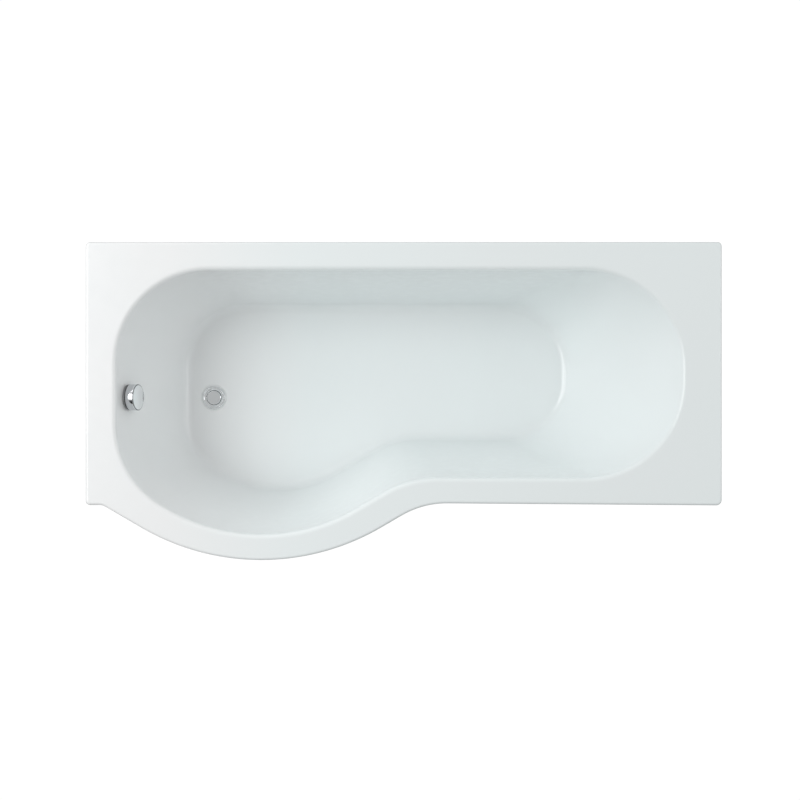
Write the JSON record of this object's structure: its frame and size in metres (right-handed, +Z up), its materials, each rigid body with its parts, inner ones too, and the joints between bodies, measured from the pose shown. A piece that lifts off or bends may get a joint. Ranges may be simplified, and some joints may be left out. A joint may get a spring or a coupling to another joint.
{
  "type": "p shaped shower bath",
  "caption": "P-shaped shower bath with a sloped backrest, a pop-up waste worked by the overflow knob, and levelling feet under a timber-backed shell.",
  "frame": {"origin": "middle of the footprint, on the floor of the room, under the feet", "axes": "+X from the foot (waste) end to the head end, +Y towards the wall side, -Y towards the bulged front, +Z up"},
  "size_m": [1.7, 0.85, 0.56],
  "materials": {
    "acrylic": "glossy white acrylic",
    "glass_fibre": "chopped-strand glass fibre set in resin",
    "chipboard": "raw chipboard",
    "timber": "sawn softwood",
    "galvanised_steel": "galvanised",
    "zinc_steel": "bright zinc plate",
    "yellow_zinc": "yellow zinc plate",
    "foot_plastic": "moulded black plastic",
    "seal_rubber": "black rubber",
    "white_seal": "white foam rubber",
    "waste_plastic": "moulded white plastic",
    "black_plastic": "moulded black plastic",
    "hose_plastic": "ribbed off-white plastic",
    "cable_sheath": "smooth black plastic",
    "chrome": "polished chrome",
    "brass": "turned brass"
  },
  "bodies": {
    "bath": {"bath_shell": "acrylic", "glass_fibre_backing": "glass_fibre", "baseboard": "chipboard", "wall_batten": "timber", "front_batten": "timber", "foot_batten": "timber", "head_batten": "timber", "bulge_batten": "timber", "foot_rail": "galvanised_steel", "head_rail": "galvanised_steel", "centre_bracket": "galvanised_steel", "wall_brackets": "galvanised_steel", "leg_nuts": "zinc_steel", "rail_screws": "yellow_zinc", "bracket_screws": "yellow_zinc", "overflow_seal": "seal_rubber", "waste_lower_seal": "seal_rubber", "waste_flange_seal": "white_seal", "overflow_body": "waste_plastic", "overflow_rear_cover": "waste_plastic", "waste_body": "waste_plastic", "lever_cover": "waste_plastic", "hose_upper_nut": "black_plastic", "hose_lower_nut": "black_plastic", "overflow_hose": "hose_plastic", "pull_cable": "cable_sheath", "overflow_plate": "chrome", "waste_flange": "chrome"},
    "knob": {"overflow_knob": "chrome", "knob_spindle": "brass", "cable_cam": "black_plastic"},
    "plug": {"plug_cap": "chrome", "plug_seal": "seal_rubber", "plug_stem": "brass"},
    "lever": {"lifting_lever": "black_plastic"},
    "foot_wall_leg": {"foot_wall_stem": "zinc_steel", "foot_wall_foot": "foot_plastic"},
    "foot_front_leg": {"foot_front_stem": "zinc_steel", "foot_front_foot": "foot_plastic"},
    "head_wall_leg": {"head_wall_stem": "zinc_steel", "head_wall_foot": "foot_plastic"},
    "head_front_leg": {"head_front_stem": "zinc_steel", "head_front_foot": "foot_plastic"},
    "centre_leg": {"centre_stem": "zinc_steel", "centre_foot": "foot_plastic"}
  },
  "joints": [
    {"name": "knob_turn", "type": "hinge", "parent": "bath", "child": "knob", "pos_m": [-0.75365, 0.01, 0.485], "axis": [0.977, 0, 0.2131], "range_deg": [0, 75]},
    {"name": "plug_lift", "type": "slide", "parent": "bath", "child": "plug", "axis": [0, 0, 1], "range_m": [0, 0.0109]},
    {"name": "lever_lift", "type": "hinge", "parent": "bath", "child": "lever", "pos_m": [-0.59, 0.01, 0.0923], "axis": [0, -1, 0], "range_deg": [0, 40]},
    {"name": "foot_wall_adjust", "type": "slide", "parent": "bath", "child": "foot_wall_leg", "axis": [0, 0, 1], "range_m": [-0.015, 0.015]},
    {"name": "foot_front_adjust", "type": "slide", "parent": "bath", "child": "foot_front_leg", "axis": [0, 0, 1], "range_m": [-0.015, 0.015]},
    {"name": "head_wall_adjust", "type": "slide", "parent": "bath", "child": "head_wall_leg", "axis": [0, 0, 1], "range_m": [-0.015, 0.015]},
    {"name": "head_front_adjust", "type": "slide", "parent": "bath", "child": "head_front_leg", "axis": [0, 0, 1], "range_m": [-0.015, 0.015]},
    {"name": "centre_adjust", "type": "slide", "parent": "bath", "child": "centre_leg", "axis": [0, 0, 1], "range_m": [-0.015, 0.015]}
  ],
  "couplings": [
    {"joint": "plug_lift", "follows": "knob_turn", "m_per_rad": 0.0083269},
    {"joint": "lever_lift", "follows": "knob_turn", "ratio": 0.53333}
  ]
}
